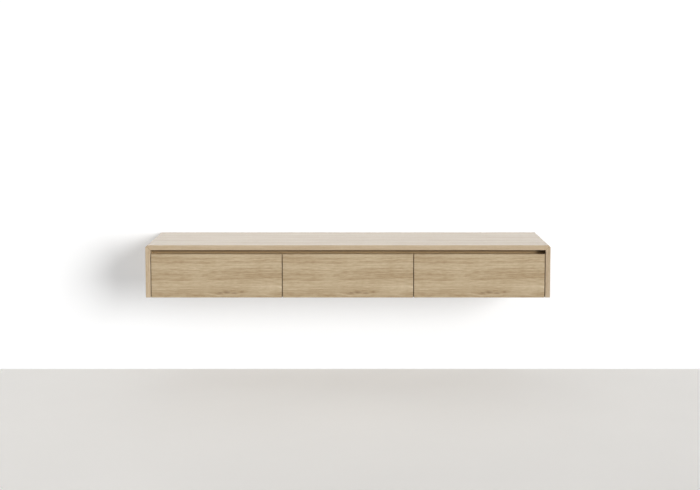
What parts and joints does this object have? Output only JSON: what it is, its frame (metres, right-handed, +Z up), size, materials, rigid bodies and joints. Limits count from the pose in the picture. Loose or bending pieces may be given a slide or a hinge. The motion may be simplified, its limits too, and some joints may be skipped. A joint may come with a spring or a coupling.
{
  "type": "floating credenza",
  "caption": "Wall-hung oak credenza with a mitred case and inset drawers on ball slides, opened by a finger channel under the top.",
  "frame": {"origin": "on the wall plane, in the middle of the line of wall screws", "axes": "+X to the viewer's right along the case, the fronts face -Y, the wall is at y = 0, +Z up"},
  "size_m": [1.8, 0.4, 0.235],
  "materials": {
    "oak_veneer": "matt lacquer",
    "birch_plywood": "sanded",
    "beech_dowel": "plain",
    "zinc_steel": "zinc plated",
    "screw_steel": "yellow zinc plated",
    "bearing_steel": "polished balls in a steel cage"
  },
  "bodies": {
    "case": {"top_panel": "oak_veneer", "left_side_panel": "oak_veneer", "right_side_panel": "oak_veneer", "bottom_panel": "oak_veneer", "left_divider": "oak_veneer", "right_divider": "oak_veneer", "grip_rail": "oak_veneer", "back_panel": "oak_veneer", "mitre_splines": "birch_plywood", "panel_dowels": "beech_dowel", "slide_screws": "screw_steel", "wall_cleat": "birch_plywood", "cabinet_cleat": "birch_plywood", "cleat_screws": "screw_steel", "lower_spacer": "birch_plywood", "left_drawer_left_case_rail": "zinc_steel", "left_drawer_right_case_rail": "zinc_steel", "centre_drawer_left_case_rail": "zinc_steel", "centre_drawer_right_case_rail": "zinc_steel", "right_drawer_left_case_rail": "zinc_steel", "right_drawer_right_case_rail": "zinc_steel"},
    "left_drawer": {"left_drawer_front": "oak_veneer", "left_drawer_inner_front": "birch_plywood", "left_drawer_left_side": "birch_plywood", "left_drawer_right_side": "birch_plywood", "left_drawer_back": "birch_plywood", "left_drawer_bottom": "birch_plywood", "left_drawer_screws": "screw_steel", "left_drawer_left_inner_rail": "zinc_steel", "left_drawer_right_inner_rail": "zinc_steel"},
    "left_middle_rails": {"left_drawer_left_middle_rail": "zinc_steel", "left_drawer_right_middle_rail": "zinc_steel"},
    "left_outer_cages": {"left_drawer_outer_ball_cages": "bearing_steel"},
    "left_inner_cages": {"left_drawer_inner_ball_cages": "bearing_steel"},
    "centre_drawer": {"centre_drawer_front": "oak_veneer", "centre_drawer_inner_front": "birch_plywood", "centre_drawer_left_side": "birch_plywood", "centre_drawer_right_side": "birch_plywood", "centre_drawer_back": "birch_plywood", "centre_drawer_bottom": "birch_plywood", "centre_drawer_screws": "screw_steel", "centre_drawer_left_inner_rail": "zinc_steel", "centre_drawer_right_inner_rail": "zinc_steel"},
    "centre_middle_rails": {"centre_drawer_left_middle_rail": "zinc_steel", "centre_drawer_right_middle_rail": "zinc_steel"},
    "centre_outer_cages": {"centre_drawer_outer_ball_cages": "bearing_steel"},
    "centre_inner_cages": {"centre_drawer_inner_ball_cages": "bearing_steel"},
    "right_drawer": {"right_drawer_front": "oak_veneer", "right_drawer_inner_front": "birch_plywood", "right_drawer_left_side": "birch_plywood", "right_drawer_right_side": "birch_plywood", "right_drawer_back": "birch_plywood", "right_drawer_bottom": "birch_plywood", "right_drawer_screws": "screw_steel", "right_drawer_left_inner_rail": "zinc_steel", "right_drawer_right_inner_rail": "zinc_steel"},
    "right_middle_rails": {"right_drawer_left_middle_rail": "zinc_steel", "right_drawer_right_middle_rail": "zinc_steel"},
    "right_outer_cages": {"right_drawer_outer_ball_cages": "bearing_steel"},
    "right_inner_cages": {"right_drawer_inner_ball_cages": "bearing_steel"}
  },
  "joints": [
    {"name": "left_drawer_slide", "type": "slide", "parent": "case", "child": "left_drawer", "axis": [0, -1, 0], "range_m": [0, 0.3]},
    {"name": "left_middle_rails_slide", "type": "slide", "parent": "case", "child": "left_middle_rails", "axis": [0, -1, 0], "range_m": [0, 0.15]},
    {"name": "left_outer_cages_slide", "type": "slide", "parent": "case", "child": "left_outer_cages", "axis": [0, -1, 0], "range_m": [0, 0.075]},
    {"name": "left_inner_cages_slide", "type": "slide", "parent": "case", "child": "left_inner_cages", "axis": [0, -1, 0], "range_m": [0, 0.225]},
    {"name": "centre_drawer_slide", "type": "slide", "parent": "case", "child": "centre_drawer", "axis": [0, -1, 0], "range_m": [0, 0.3]},
    {"name": "centre_middle_rails_slide", "type": "slide", "parent": "case", "child": "centre_middle_rails", "axis": [0, -1, 0], "range_m": [0, 0.15]},
    {"name": "centre_outer_cages_slide", "type": "slide", "parent": "case", "child": "centre_outer_cages", "axis": [0, -1, 0], "range_m": [0, 0.075]},
    {"name": "centre_inner_cages_slide", "type": "slide", "parent": "case", "child": "centre_inner_cages", "axis": [0, -1, 0], "range_m": [0, 0.225]},
    {"name": "right_drawer_slide", "type": "slide", "parent": "case", "child": "right_drawer", "axis": [0, -1, 0], "range_m": [0, 0.3]},
    {"name": "right_middle_rails_slide", "type": "slide", "parent": "case", "child": "right_middle_rails", "axis": [0, -1, 0], "range_m": [0, 0.15]},
    {"name": "right_outer_cages_slide", "type": "slide", "parent": "case", "child": "right_outer_cages", "axis": [0, -1, 0], "range_m": [0, 0.075]},
    {"name": "right_inner_cages_slide", "type": "slide", "parent": "case", "child": "right_inner_cages", "axis": [0, -1, 0], "range_m": [0, 0.225]}
  ],
  "couplings": [
    {"joint": "left_middle_rails_slide", "follows": "left_drawer_slide", "ratio": 0.5},
    {"joint": "left_outer_cages_slide", "follows": "left_drawer_slide", "ratio": 0.25},
    {"joint": "left_inner_cages_slide", "follows": "left_drawer_slide", "ratio": 0.75},
    {"joint": "centre_middle_rails_slide", "follows": "centre_drawer_slide", "ratio": 0.5},
    {"joint": "centre_outer_cages_slide", "follows": "centre_drawer_slide", "ratio": 0.25},
    {"joint": "centre_inner_cages_slide", "follows": "centre_drawer_slide", "ratio": 0.75},
    {"joint": "right_middle_rails_slide", "follows": "right_drawer_slide", "ratio": 0.5},
    {"joint": "right_outer_cages_slide", "follows": "right_drawer_slide", "ratio": 0.25},
    {"joint": "right_inner_cages_slide", "follows": "right_drawer_slide", "ratio": 0.75}
  ]
}
